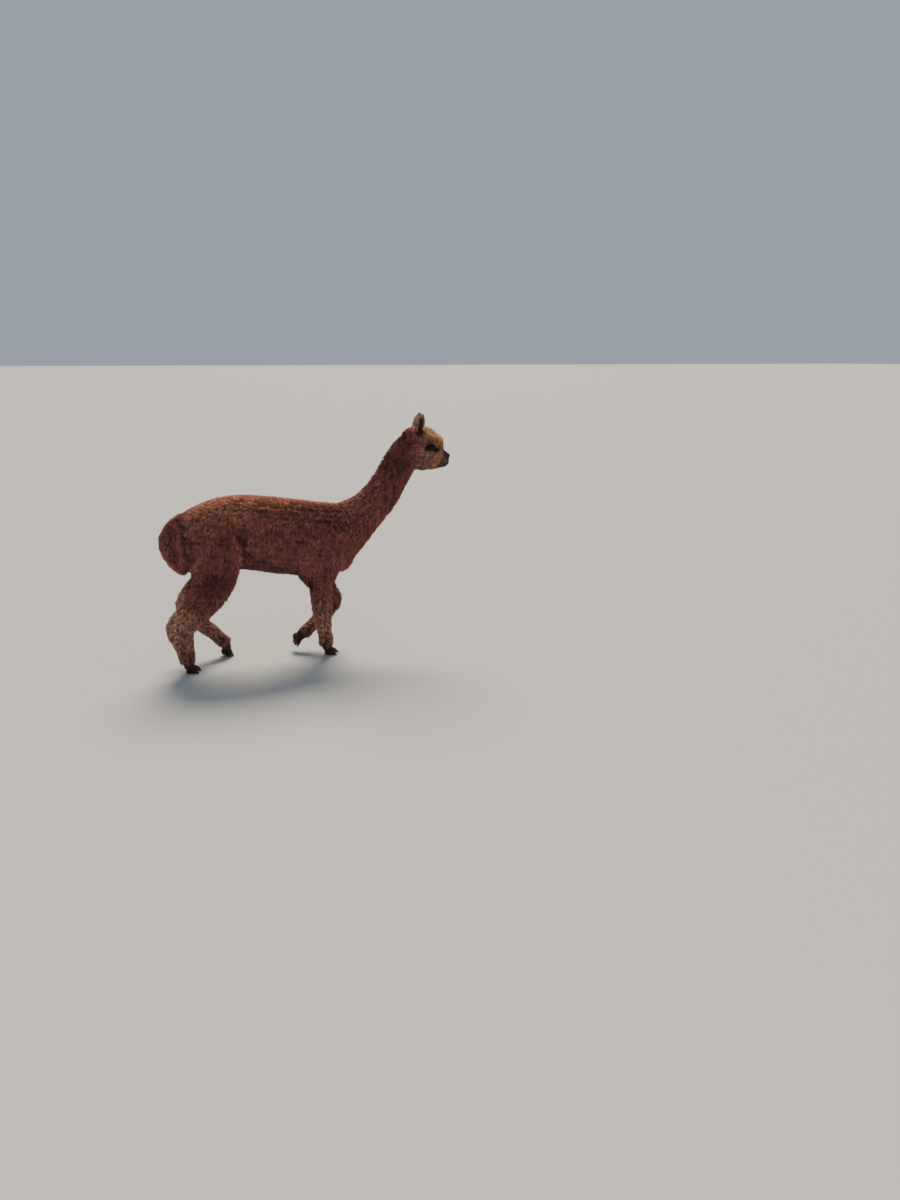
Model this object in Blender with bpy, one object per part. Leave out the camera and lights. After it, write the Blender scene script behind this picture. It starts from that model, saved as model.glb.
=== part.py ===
"""Life-size still model of a walking alpaca, as a museum shows it, in metres, +Z up.

The animal faces +X and its left side is +Y. The two right legs carry it, the toes of the left
hind foot have just come down, and the left fore foot swings. The soft forms are laid up like
clay from lofts and eggs, fused by a voxel remesh, smoothed, and parted with thin cuts.
"""

import math

import bmesh
import bpy
import numpy as np
from mathutils import Matrix, Vector

GAP = 0.0004  # clearance between neighbouring solids
TAIL_GAP = 0.0010  # clearance of the tail in the wool of the rump
BLANK_VOXEL = 0.005
BLANK_ROUNDS = 10  # of smoothing after the forms are fused
BLANK_TRIANGLES = 4400
TAIL_ROUNDS = 6
TAIL_TRIANGLES = 320
EGG_DETAIL = 28
TRUNK_SIDES = 32
TRUNK_POWER = 2.25  # above 2 the trunk's rings are squarer than ovals

# Trunk: place along the body, height of the back, height of the belly, half the width.
TRUNK = [
    (-0.425, 0.742, 0.590, 0.060),
    (-0.395, 0.790, 0.520, 0.120),
    (-0.310, 0.838, 0.495, 0.165),
    (-0.180, 0.876, 0.504, 0.185),
    (-0.050, 0.877, 0.486, 0.188),
    (0.080, 0.860, 0.456, 0.192),
    (0.200, 0.842, 0.444, 0.182),
    (0.320, 0.820, 0.440, 0.165),
    (0.415, 0.806, 0.452, 0.140),
    (0.480, 0.770, 0.530, 0.095),
]
BRISKET = ((0.398, 0.0, 0.540), (0.096, 0.112, 0.102))  # centre and half sizes

# Neck and tail: place along X, height, half the fore-and-aft depth, half the width.
NECK = [
    (0.390, 0.640, 0.172, 0.125),
    (0.472, 0.688, 0.139, 0.114),
    (0.562, 0.752, 0.108, 0.096),
    (0.649, 0.833, 0.098, 0.082),
    (0.711, 0.924, 0.092, 0.076),
    (0.763, 1.008, 0.091, 0.075),
    (0.814, 1.076, 0.087, 0.074),
    (0.850, 1.108, 0.072, 0.066),
]
TAIL = [
    (-0.345, 0.790, 0.028, 0.034),
    (-0.392, 0.758, 0.046, 0.056),
    (-0.438, 0.698, 0.057, 0.070),
    (-0.452, 0.642, 0.056, 0.072),
    (-0.430, 0.576, 0.050, 0.064),
    (-0.398, 0.518, 0.034, 0.046),
    (-0.384, 0.494, 0.014, 0.020),
]

# The head is laid out looking along X and then turned about the poll towards its right.
HEAD_TURN = 13  # degrees
POLL = (0.860, 0.0, 1.100)
# Head: the muzzle as the neck is given, then eggs as centre and half sizes.
MUZZLE = [
    (0.930, 1.042, 0.074, 0.058),
    (0.968, 1.030, 0.064, 0.047),
    (0.998, 1.022, 0.052, 0.038),
    (1.020, 1.017, 0.037, 0.030),
    (1.033, 1.016, 0.019, 0.019),
]
HEAD_EGGS = {
    "skull": ((0.915, 0.0, 1.085), (0.090, 0.062, 0.070)),
    "topknot": ((0.894, 0.0, 1.131), (0.080, 0.067, 0.067)),
    "forelock": ((0.958, 0.0, 1.104), (0.052, 0.048, 0.061)),
    "poll": ((0.850, 0.0, 1.124), (0.086, 0.074, 0.072)),
    "cheeks": ((0.885, 0.0, 1.026), (0.085, 0.067, 0.067)),
    "jaw": ((0.940, 0.0, 1.001), (0.062, 0.046, 0.038)),
    "nose": ((1.023, 0.0, 1.039), (0.020, 0.025, 0.018)),
    "lip_left": ((1.019, 0.011, 1.008), (0.018, 0.016, 0.020)),
    "lip_right": ((1.019, -0.011, 1.008), (0.018, 0.016, 0.020)),
    "chin": ((1.001, 0.0, 0.993), (0.027, 0.024, 0.018)),
}
EYE = {"centre": (0.936, 0.0480, 1.088), "radius": 0.0170}

# Ears: place and half sizes along the ear, from the root inside the poll to the tip.
EAR = [
    (0.862, 0.050, 1.150, 0.016, 0.017),
    (0.867, 0.058, 1.180, 0.022, 0.020),
    (0.873, 0.065, 1.207, 0.025, 0.019),
    (0.879, 0.068, 1.232, 0.021, 0.016),
    (0.884, 0.067, 1.252, 0.012, 0.010),
    (0.887, 0.064, 1.267, 0.004, 0.004),
]
EAR_HOLLOW = {"offset": (0.006, 0.015, 0.004), "share": 0.80, "first": 1}

# Legs: place X, Y, Z, half the fore-and-aft depth, half the width, from the body to the fetlock.
LEGS = {
    "hind_right": [
        (-0.270, -0.100, 0.700, 0.130, 0.072),
        (-0.262, -0.108, 0.600, 0.133, 0.076),
        (-0.262, -0.110, 0.500, 0.120, 0.072),
        (-0.300, -0.108, 0.400, 0.094, 0.064),
        (-0.388, -0.104, 0.305, 0.074, 0.056),
        (-0.443, -0.100, 0.240, 0.073, 0.053),
        (-0.435, -0.097, 0.170, 0.055, 0.047),
        (-0.424, -0.094, 0.100, 0.041, 0.040),
        (-0.421, -0.092, 0.056, 0.034, 0.035),
    ],
    "hind_left": [
        (-0.255, 0.100, 0.700, 0.130, 0.072),
        (-0.225, 0.108, 0.600, 0.130, 0.076),
        (-0.215, 0.112, 0.510, 0.108, 0.072),
        (-0.275, 0.114, 0.420, 0.084, 0.062),
        (-0.355, 0.115, 0.345, 0.066, 0.054),
        (-0.385, 0.115, 0.285, 0.057, 0.049),
        (-0.328, 0.115, 0.210, 0.046, 0.042),
        (-0.246, 0.115, 0.124, 0.036, 0.036),
        (-0.194, 0.115, 0.0665, 0.030, 0.032),
    ],
    "front_right": [
        (0.330, -0.090, 0.620, 0.105, 0.066),
        (0.305, -0.095, 0.520, 0.098, 0.068),
        (0.288, -0.094, 0.430, 0.076, 0.060),
        (0.282, -0.088, 0.350, 0.058, 0.052),
        (0.288, -0.080, 0.255, 0.052, 0.048),
        (0.292, -0.074, 0.200, 0.049, 0.045),
        (0.301, -0.068, 0.125, 0.039, 0.038),
        (0.308, -0.064, 0.056, 0.032, 0.034),
    ],
    "front_left": [
        (0.330, 0.090, 0.620, 0.105, 0.066),
        (0.300, 0.095, 0.520, 0.108, 0.068),
        (0.296, 0.094, 0.430, 0.094, 0.060),
        (0.350, 0.086, 0.340, 0.061, 0.052),
        (0.388, 0.077, 0.262, 0.052, 0.048),
        (0.345, 0.070, 0.205, 0.044, 0.043),
        (0.265, 0.064, 0.136, 0.034, 0.036),
        (0.214, 0.060, 0.092, 0.030, 0.032),
    ],
}
PARTED_AT = {"hind": (5, 8), "front": (4, 7)}  # stations: hock or knee, and fetlock

# Feet: how far the foot is turned down from flat, about the fetlock, in degrees.
FOOT_TURN = {"hind_right": 0, "hind_left": 30, "front_right": 0, "front_left": 88}
TOE = [  # along one toe from the fetlock: X, Y, Z, half depth, half width
    (-0.004, 0.010, -0.004, 0.026, 0.018),
    (0.014, 0.0145, -0.026, 0.022, 0.0155),
    (0.032, 0.0175, -0.040, 0.018, 0.0130),
    (0.046, 0.0185, -0.047, 0.0135, 0.0115),
]
HEEL = ((0.009, 0.013, -0.047), (0.022, 0.015, 0.013))  # the pad's centre and half sizes
NAIL = [
    (0.036, 0.0185, -0.030, 0.0085, 0.0085),
    (0.048, 0.0185, -0.036, 0.0078, 0.0075),
    (0.058, 0.0175, -0.0425, 0.0050, 0.0048),
    (0.064, 0.0170, -0.047, 0.0016, 0.0016),
]

# Cutters that part the legs from the trunk: inner edge Y and Z, and the slope above it.
CUTTER_REACH = (0.32, -0.10)  # outermost Y and lowest Z
LEG_CUTS = {"hind": (0.010, 0.450, 1.46), "front": (0.010, 0.405, 1.34)}
LEG_SPANS = {  # how far along the body each cutter runs
    "hind_right": (-0.62, -0.118),
    "hind_left": (-0.62, -0.085),
    "front_right": (0.178, 0.470),
    "front_left": (0.140, 0.470),
}
HEAD_CUT = ((0.812, 0.0, 1.060), (0.944, 0.0, 0.329))
NECK_CUT = ((0.500, 0.0, 0.705), (0.800, 0.0, 0.600))

FLEECE = ("brown_fleece", (0.150, 0.045, 0.024), 0.95)
FACE = ("face_fleece", (0.300, 0.125, 0.060), 0.95)
EYE_DARK = ("dark_eye", (0.008, 0.005, 0.004), 0.08)
NAIL_HORN = ("black_nail", (0.018, 0.013, 0.011), 0.40)


def clear_scene():
    for thing in list(bpy.data.objects):
        bpy.data.objects.remove(thing, do_unlink=True)


def material(name, colour, roughness):
    found = bpy.data.materials.get(name)
    if found:
        return found
    made = bpy.data.materials.new(name)
    made.use_nodes = True
    shader = made.node_tree.nodes["Principled BSDF"]
    shader.inputs["Base Color"].default_value = (*colour, 1.0)
    shader.inputs["Roughness"].default_value = roughness
    return made


def head_turned(bm, start=0):
    """Turns what bm holds from that vertex on about the poll, as the head is turned."""
    bm.verts.ensure_lookup_table()
    about = Matrix.Translation(POLL)
    turn = Matrix.Rotation(math.radians(-HEAD_TURN), 4, "Z")
    bmesh.ops.transform(bm, matrix=about @ turn @ about.inverted(), verts=bm.verts[start:])


def placed(name, mesh):
    thing = bpy.data.objects.new(name, mesh)
    bpy.context.scene.collection.objects.link(thing)
    return thing


def to_object(name, bm):
    bmesh.ops.recalc_face_normals(bm, faces=bm.faces)
    mesh = bpy.data.meshes.new(name)
    bm.to_mesh(mesh)
    bm.free()
    return placed(name, mesh)


def smooth_path(stations, steps):
    """Catmull-Rom values between the stations, in all their columns."""
    points = [np.array(s, float) for s in stations]
    points = [2 * points[0] - points[1], *points, 2 * points[-1] - points[-2]]
    made = []
    for a, b, c, d in zip(points, points[1:], points[2:], points[3:]):
        for step in range(steps):
            t = step / steps
            made.append(
                0.5 * (2 * b + (c - a) * t + (2 * a - 5 * b + 4 * c - d) * t * t
                       + (3 * b - a - 3 * c + d) * t ** 3)
            )
    made.append(points[-2])
    return made


def loft(bm, rings):
    """Bridges closed rings of points, in order, and caps both ends."""
    edges = []
    faces = []
    for ring in rings:
        loop = [bm.verts.new(p) for p in ring]
        faces.append(loop)
        edges += [bm.edges.new((a, b)) for a, b in zip(loop, loop[1:] + loop[:1])]
    bmesh.ops.bridge_loops(bm, edges=edges)
    bm.faces.new(faces[0])
    bm.faces.new(faces[-1])


def oval(centre, axis, half_depth, half_width, sides=24, power=2.0):
    """A ring round a path that runs along axis; its width lies along Y."""
    axis = Vector(axis).normalized()
    across = Vector((0, 1, 0))
    deep = axis.cross(across).normalized()
    ring = []
    for i in range(sides):
        turn = 2 * math.pi * i / sides
        c, s = math.cos(turn), math.sin(turn)
        u = math.copysign(abs(c) ** (2 / power), c)
        v = math.copysign(abs(s) ** (2 / power), s)
        ring.append(Vector(centre) + deep * (u * half_depth) + across * (v * half_width))
    return ring


def limb(bm, stations, steps=4, sides=24, side=1):
    """A lofted limb along stations of (x, y, z, half depth, half width), with round ends."""
    path = smooth_path(stations, steps)
    centres = [Vector((p[0], side * p[1], p[2])) for p in path]
    rings = []
    for i, p in enumerate(path):
        ahead = centres[min(i + 1, len(path) - 1)] - centres[max(i - 1, 0)]
        rings.append(oval(centres[i], ahead, p[3], p[4], sides))
    loft(bm, rings)


def flat_limb(bm, stations, **options):
    """A limb in the mid plane, from stations of (x, z, half depth, half width)."""
    limb(bm, [(x, 0.0, z, depth, width) for x, z, depth, width in stations], **options)


def egg(bm, centre, radii, detail=20):
    shape = Matrix.Translation(centre) @ Matrix.Diagonal((*radii, 1.0))
    bmesh.ops.create_uvsphere(
        bm, u_segments=detail, v_segments=detail // 2, radius=1.0, matrix=shape
    )


def trunk_barrel(bm):
    rings = []
    for x, top, bottom, half_width in smooth_path(TRUNK, 4):
        middle = (x, 0.0, (top + bottom) / 2)
        half_depth = (top - bottom) / 2
        rings.append(
            oval(middle, (1, 0, 0), half_depth, half_width, TRUNK_SIDES, TRUNK_POWER)
        )
    loft(bm, rings)


def evaluated(thing):
    """The object with its modifiers applied."""
    graph = bpy.context.evaluated_depsgraph_get()
    graph.update()
    mesh = bpy.data.meshes.new_from_object(thing.evaluated_get(graph))
    thing.modifiers.clear()
    thing.data = mesh
    return thing


def clay(name, bm, voxel, rounds):
    """Fuses the overlapping forms in bm and smooths where they meet."""
    thing = to_object(name, bm)
    fuse = thing.modifiers.new("fuse", "REMESH")
    fuse.mode = "VOXEL"
    fuse.voxel_size = voxel
    soften = thing.modifiers.new("soften", "SMOOTH")
    soften.factor = 0.5
    soften.iterations = rounds
    return evaluated(thing)


def thinned(thing, triangles):
    """Collapses the mesh to about that many triangles."""
    thin = thing.modifiers.new("thin", "DECIMATE")
    faces = sum(len(p.vertices) - 2 for p in thing.data.polygons)
    thin.ratio = triangles / faces
    return evaluated(thing)


def combined(thing, cutter, operation):
    """Boolean of thing with cutter, applied, keeping the cutter."""
    cut = thing.modifiers.new("cut", "BOOLEAN")
    cut.operation = operation
    cut.solver = "EXACT"
    cut.object = cutter
    return evaluated(thing)


def copy_of(thing, name, grow=0.0):
    """A copy, whose faces are moved outwards by that distance."""
    mesh = thing.data.copy()
    if grow:
        bm = bmesh.new()
        bm.from_mesh(mesh)
        bm.normal_update()
        for v in bm.verts:
            v.co += v.normal * (grow * v.calc_shell_factor())
        bm.to_mesh(mesh)
        bm.free()
    return placed(name, mesh)


def removed(*things):
    for thing in things:
        bpy.data.objects.remove(thing, do_unlink=True)


def halved(thing, name, point, normal):
    """Parts thing at a plane. What lies ahead of it becomes a new object; thing keeps the rest."""
    normal = Vector(normal).normalized()
    ahead = copy_of(thing, name)
    for piece, sign in ((ahead, 1), (thing, -1)):
        bm = bmesh.new()
        bm.from_mesh(piece.data)
        trim(bm, Vector(point) + normal * (sign * GAP / 2), normal * sign)
        bm.to_mesh(piece.data)
        bm.free()
    return ahead


def trim(bm, point, keep_side):
    """Cuts away what lies behind a plane and closes the cut."""
    cut = bmesh.ops.bisect_plane(
        bm, geom=[*bm.verts, *bm.edges, *bm.faces], dist=1e-6,
        plane_co=point, plane_no=keep_side, clear_inner=True,
    )
    rim = [e for e in cut["geom_cut"] if isinstance(e, bmesh.types.BMEdge)]
    bmesh.ops.contextual_create(bm, geom=rim)


def floored(thing):
    """Cuts off what would reach below the floor."""
    bm = bmesh.new()
    bm.from_mesh(thing.data)
    trim(bm, Vector((0, 0, 0)), Vector((0, 0, 1)))
    bm.to_mesh(thing.data)
    bm.free()


def foot_matrix(leg):
    x, y, z = LEGS[leg][-1][:3]
    turn = Matrix.Rotation(math.radians(FOOT_TURN[leg]), 4, "Y")
    return Matrix.Translation((x, y, z)) @ turn


def add_foot(bm, leg):
    """Two toes and their pads, laid out about the fetlock and then turned."""
    start = len(bm.verts)
    for side in (-1, 1):
        limb(bm, TOE, side=side, sides=16)
        centre, radii = HEEL
        egg(bm, (centre[0], side * centre[1], centre[2]), radii, 16)
    bm.verts.ensure_lookup_table()
    bmesh.ops.transform(bm, matrix=foot_matrix(leg), verts=bm.verts[start:])


def body_blank():
    """The whole animal but its tail, ears, eyes and nails, as one lump."""
    bm = bmesh.new()
    trunk_barrel(bm)
    egg(bm, *BRISKET, EGG_DETAIL)
    flat_limb(bm, NECK, sides=28)
    below_head = len(bm.verts)
    flat_limb(bm, MUZZLE)
    for centre, radii in HEAD_EGGS.values():
        egg(bm, centre, radii, EGG_DETAIL)
    head_turned(bm, below_head)
    for leg, stations in LEGS.items():
        limb(bm, stations)
        add_foot(bm, leg)
    return clay("trunk", bm, BLANK_VOXEL, BLANK_ROUNDS)


def leg_cutter(kind, side, along, grow=0.0):
    """A prism under the hip or shoulder: upright beside the groin, then leaning out."""
    inner_y, inner_z, slope = LEG_CUTS[kind]
    reach, floor = CUTTER_REACH
    lift = grow * math.hypot(1.0, slope)
    outline = [
        (inner_y - grow, floor),
        (reach, floor),
        (reach, inner_z + (reach - inner_y) * slope + lift),
        (inner_y - grow, inner_z + lift),
    ]
    bm = bmesh.new()
    face = bm.faces.new([bm.verts.new((along[0] - grow, y, z)) for y, z in outline])
    swept = bmesh.ops.extrude_face_region(bm, geom=[face])
    moved = [v for v in swept["geom"] if isinstance(v, bmesh.types.BMVert)]
    bmesh.ops.translate(bm, verts=moved, vec=(along[1] - along[0] + 2 * grow, 0, 0))
    bmesh.ops.scale(bm, verts=bm.verts, vec=(1, side, 1))
    return to_object("leg_cutter", bm)


def parted_leg(leg, trunk):
    """Takes a leg off the trunk and parts it at its joints into upper, lower and foot."""
    kind = leg.split("_")[0]
    side = 1 if leg.endswith("left") else -1
    upper = copy_of(trunk, f"leg_{leg}_upper")
    cutter = leg_cutter(kind, side, LEG_SPANS[leg])
    wider = leg_cutter(kind, side, LEG_SPANS[leg], GAP)
    combined(upper, cutter, "INTERSECT")
    combined(trunk, wider, "DIFFERENCE")
    removed(cutter, wider)
    stations = LEGS[leg]
    joint, fetlock = (stations[i] for i in PARTED_AT[kind])
    above, below = (stations[PARTED_AT[kind][0] + step] for step in (-1, 1))
    lower = halved(
        upper, f"leg_{leg}_lower", joint[:3], Vector(below[:3]) - Vector(above[:3])
    )
    foot = halved(
        lower, f"foot_{leg}", fetlock[:3], Vector(fetlock[:3]) - Vector(stations[-2][:3])
    )
    return upper, lower, foot


def add_nails(leg, foot):
    """The two claws of a foot, each set into its toe."""
    made = []
    for word, side in (("left", 1), ("right", -1)):
        bm = bmesh.new()
        limb(bm, NAIL, side=side, sides=8, steps=1)
        bmesh.ops.transform(bm, matrix=foot_matrix(leg), verts=bm.verts)
        nail = to_object(f"nail_{leg}_{word}", bm)
        socket = copy_of(nail, "socket", GAP)
        combined(foot, socket, "DIFFERENCE")
        removed(socket)
        made.append(nail)
    return made


def add_eye(side, head):
    x, y, z = EYE["centre"]
    word = "left" if side > 0 else "right"
    balls = []
    for name, radius in ((f"eye_{word}", EYE["radius"]), ("socket", EYE["radius"] + GAP)):
        bm = bmesh.new()
        egg(bm, (x, side * y, z), (radius, radius, radius), 12)
        head_turned(bm)
        balls.append(to_object(name, bm))
    eye, socket = balls
    combined(head, socket, "DIFFERENCE")
    removed(socket)
    return eye


def add_ear(side, head):
    """A cupped, spear-shaped ear that opens outwards, rooted in the poll."""
    word = "left" if side > 0 else "right"
    bm = bmesh.new()
    limb(bm, EAR, side=side, sides=10, steps=2)
    head_turned(bm)
    ear = to_object(f"ear_{word}", bm)
    root = copy_of(ear, "root", GAP)
    combined(head, root, "DIFFERENCE")
    dx, dy, dz = EAR_HOLLOW["offset"]
    share = EAR_HOLLOW["share"]
    hollow = [
        (x + dx, y + dy, z + dz, depth * share, width * share)
        for x, y, z, depth, width in EAR[EAR_HOLLOW["first"]:-1]
    ]
    bm = bmesh.new()
    limb(bm, hollow, side=side, sides=10, steps=2)
    head_turned(bm)
    scoop = to_object("scoop", bm)
    combined(ear, scoop, "DIFFERENCE")
    removed(root, scoop)
    return ear


def add_tail(trunk):
    """The woolly tail, let into the rump that it lies against."""
    bm = bmesh.new()
    flat_limb(bm, TAIL)
    tail = thinned(clay("tail", bm, BLANK_VOXEL, TAIL_ROUNDS), TAIL_TRIANGLES)
    bed = copy_of(tail, "bed", TAIL_GAP)
    combined(trunk, bed, "DIFFERENCE")
    removed(bed)
    return tail


def centred(things):
    """Moves the animal so that its box stands on the floor round the origin."""
    places = [thing.matrix_world @ v.co for thing in things for v in thing.data.vertices]
    for axis in (0, 1):
        values = [p[axis] for p in places]
        middle = (min(values) + max(values)) / 2
        for thing in things:
            for v in thing.data.vertices:
                v.co[axis] -= middle
        print("xy"[axis], "moved by", round(-middle, 5))


def main():
    clear_scene()
    trunk = thinned(body_blank(), BLANK_TRIANGLES)
    tail = add_tail(trunk)
    head = halved(trunk, "head", *HEAD_CUT)
    neck = halved(trunk, "neck", *NECK_CUT)
    fleece = [trunk, neck, tail]
    nails = []
    for leg in LEGS:
        upper, lower, foot = parted_leg(leg, trunk)
        claws = add_nails(leg, foot)
        if leg != "front_left":
            for piece in (foot, *claws):
                floored(piece)
        nails += claws
        fleece += [upper, lower, foot]
    eyes = [add_eye(side, head) for side in (1, -1)]
    ears = [add_ear(side, head) for side in (1, -1)]
    for pieces, finish in (
        (fleece, FLEECE), ([head, *ears], FACE), (eyes, EYE_DARK), (nails, NAIL_HORN)
    ):
        for piece in pieces:
            piece.data.materials.clear()
            piece.data.materials.append(material(*finish))
    centred([*fleece, head, *ears, *eyes, *nails])


main()
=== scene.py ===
import math
import time

import bmesh
import bpy
import numpy as np
from mathutils import Matrix, Vector
from mathutils.bvhtree import BVHTree


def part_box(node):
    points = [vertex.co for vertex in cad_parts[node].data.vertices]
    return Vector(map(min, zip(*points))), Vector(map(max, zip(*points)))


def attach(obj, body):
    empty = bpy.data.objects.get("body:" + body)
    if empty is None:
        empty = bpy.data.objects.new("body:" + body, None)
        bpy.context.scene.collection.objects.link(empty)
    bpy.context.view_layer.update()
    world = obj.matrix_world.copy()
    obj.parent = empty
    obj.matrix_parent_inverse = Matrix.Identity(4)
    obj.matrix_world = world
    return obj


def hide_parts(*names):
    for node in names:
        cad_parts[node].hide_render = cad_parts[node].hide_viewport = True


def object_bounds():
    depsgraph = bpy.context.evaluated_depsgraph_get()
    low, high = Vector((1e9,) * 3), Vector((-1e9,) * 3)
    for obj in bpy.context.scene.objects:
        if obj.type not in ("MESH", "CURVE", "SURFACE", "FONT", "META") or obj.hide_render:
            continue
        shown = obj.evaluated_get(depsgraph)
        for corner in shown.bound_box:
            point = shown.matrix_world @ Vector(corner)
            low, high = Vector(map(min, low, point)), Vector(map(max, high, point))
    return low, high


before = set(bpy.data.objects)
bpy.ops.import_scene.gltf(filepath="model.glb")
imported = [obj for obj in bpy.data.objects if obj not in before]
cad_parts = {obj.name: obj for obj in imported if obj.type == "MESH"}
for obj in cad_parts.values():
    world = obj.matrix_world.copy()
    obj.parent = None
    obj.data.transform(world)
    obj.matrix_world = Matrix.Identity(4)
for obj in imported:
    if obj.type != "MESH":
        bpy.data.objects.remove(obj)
cadLow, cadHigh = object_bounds()
started = time.time()


def report(stage):
    print(f"{stage}: {time.time() - started:.0f} s")


def hexColour(text):
    values = [int(text[i:i + 2], 16) / 255 for i in (1, 3, 5)]
    return np.array([v / 12.92 if v <= 0.04045 else ((v + 0.055) / 1.055) ** 2.4 for v in values])


def ramp(values, low, high):
    # smooth step from 0 to 1
    t = np.clip((values - low) / (high - low), 0, 1)
    return t * t * (3 - 2 * t)


def ball(places, centre, radii):
    # 1 at the centre, falling smoothly to 0 at the surface of the egg
    distance = np.sqrt((((places - np.array(centre)) / np.array(radii)) ** 2).sum(1))
    return 1 - ramp(distance, 0.0, 1.0)


def mixed(base, colour, share):
    return base * (1 - share[:, None]) + colour * share[:, None]


def waves(places, size, seed):
    # smooth noise between -1 and 1 with features about that many metres across
    random = np.random.default_rng(seed)
    total = np.zeros(len(places))
    for layer in range(5):
        direction = random.normal(size=(3, 3))
        direction /= np.linalg.norm(direction, axis=1)[:, None]
        turns = random.uniform(0, 2 * math.pi, 3)
        rate = 2 * math.pi / (size * random.uniform(0.8, 1.35, 3))
        total += np.prod(np.sin(places @ direction.T * rate + turns), axis=1) * 1.15
    return np.clip(total, -1, 1)


def bell(distance, width):
    # 1 on a line, falling smoothly to almost 0 at two widths from it
    return np.exp(-((distance / width) ** 2))


def unit(vectors):
    return vectors / np.maximum(np.linalg.norm(vectors, axis=1), 1e-9)[:, None]


def addNode(tree, kind, settings=None, links=None):
    # settings are the node's own values or its sockets' values, links its inputs' sources
    node = tree.nodes.new(kind)
    for key, value in (settings or {}).items():
        if hasattr(node, key):
            setattr(node, key, value)
        else:
            node.inputs[key].default_value = value
    for key, source in (links or {}).items():
        tree.links.new(source, node.inputs[key])
    return node


def patternScale(millimetres):
    # a noise texture's scale, for features of that size in Object coordinates
    return 1000 / millimetres


def noise(tree, millimetres, detail):
    # noise with features of about that size
    where = addNode(tree, "ShaderNodeTexCoord")
    made = addNode(tree, "ShaderNodeTexNoise",
                   {"Scale": patternScale(millimetres), "Detail": detail},
                   {"Vector": where.outputs["Object"]})
    return made.outputs["Fac"]


def coatTone(tree):
    # the colour painted on the vertices
    return addNode(tree, "ShaderNodeAttribute", {"attribute_name": "coatTone"}).outputs["Color"]


def newMaterial(name):
    made = bpy.data.materials.new(name)
    made.use_nodes = True
    return made, made.node_tree, made.node_tree.nodes["Principled BSDF"]


def link(thing):
    bpy.context.scene.collection.objects.link(thing)
    return thing


def placeObject(name, bm, finish):
    mesh = bpy.data.meshes.new(name)
    bm.to_mesh(mesh)
    bm.free()
    mesh.materials.append(finish)
    return link(bpy.data.objects.new(name, mesh))


def applyModifiers(thing):
    # what its modifiers make becomes its mesh
    graph = bpy.context.evaluated_depsgraph_get()
    graph.update()
    mesh = bpy.data.meshes.new_from_object(thing.evaluated_get(graph))
    thing.modifiers.clear()
    thing.data = mesh


def column(items, key, width=1, kind=np.float32):
    # what every item holds under that key, as rows of that width
    values = np.empty(len(items) * width, kind)
    items.foreach_get(key, values)
    return values.reshape(-1, width).astype(float) if kind is np.float32 else values


def vertexPlaces(mesh):
    return column(mesh.vertices, "co", 3)


def vertexNormals(mesh):
    return column(mesh.vertex_normals, "vector", 3)


def moveVertices(mesh, places):
    mesh.vertices.foreach_set("co", places.astype(np.float32).ravel())
    mesh.update()


def shadeSmooth(mesh):
    mesh.polygons.foreach_set("use_smooth", np.ones(len(mesh.polygons), bool))


def paint(mesh, colours):
    layer = mesh.color_attributes.new("coatTone", "FLOAT_COLOR", "POINT")
    values = np.ones((len(colours), 4), np.float32)
    values[:, :3] = colours
    layer.data.foreach_set("color", values.ravel())


farAway = 9.0  # metres; stands for no distance at all

# Places taken from the frame. The head looks a little to its right: its own frame has its
# origin midway between the eyes, X towards the nose, Y towards its left side and Z up.
legs = ["hind_right", "hind_left", "front_right", "front_left"]
fleshNodes = ["trunk", "neck", "tail", "head", "ear_left", "ear_right"]
fleshNodes += [f"leg_{leg}_{part}" for leg in legs for part in ("upper", "lower")]
fleshNodes += [f"foot_{leg}" for leg in legs]


def middle(node):
    low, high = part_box(node)
    return (low + high) / 2


def onNodes(numbers, word):
    # true at the places that belong to a node with that word in its name
    return np.isin(numbers, [i for i, node in enumerate(fleshNodes) if word in node])


eyes = {word: middle(f"eye_{word}") for word in ("left", "right")}
eyeRadius = (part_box("eye_left")[1].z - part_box("eye_left")[0].z) / 2
headSide = (eyes["left"] - eyes["right"]).normalized()
headAhead = headSide.cross(Vector((0, 0, 1)))
headTurn = Matrix((headAhead, headSide, (0, 0, 1))).to_4x4()
toHead = headTurn @ Matrix.Translation(-(eyes["left"] + eyes["right"]) / 2)
fromHead = toHead.inverted()


def headPlaces(places):
    turn = np.array(toHead)
    return places @ turn[:3, :3].T + turn[:3, 3]


camera = {
    "place": (-1.0755, -4.6237, 1.55),
    "yaw": 22.0,  # the view turned from +Y towards +X
    "pitch": 15.0,  # the view lowered from level
    "lens": 27.09,
    "sensor": 36.0,
    "reach": 200.0,  # how far the floor goes
}


def addCamera():
    data = bpy.data.cameras.new("camera")
    data.sensor_fit = "VERTICAL"
    data.sensor_height = camera["sensor"]
    data.lens = camera["lens"]
    data.clip_end = 2 * camera["reach"]
    thing = link(bpy.data.objects.new("camera", data))
    thing.location = camera["place"]
    turn = (90 - camera["pitch"], 0, -camera["yaw"])
    thing.rotation_euler = [math.radians(angle) for angle in turn]
    bpy.context.scene.camera = thing


light = {
    "sky": "#d0dbec",
    "skyStrength": 0.56,
    "aim": Vector((0, 0, 0.6)),  # the lamps point at it
    "sun": {"from": (0.22, 0.60, 0.77), "strength": 5.6, "spread": 30, "colour": "#fff2e0"},
    "fill": {"place": (-2.6, -4.2, 2.6), "size": 3.5, "power": 30, "colour": "#eef3ff"},
}


def addLamp(name, kind, place, colour, strength):
    data = bpy.data.lights.new(name, kind)
    data.energy = strength
    data.color = hexColour(colour)
    lamp = link(bpy.data.objects.new(name, data))
    lamp.location = place
    aim = light["aim"] - Vector(place)
    lamp.rotation_euler = aim.to_track_quat("-Z", "Y").to_euler()
    return data


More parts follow.
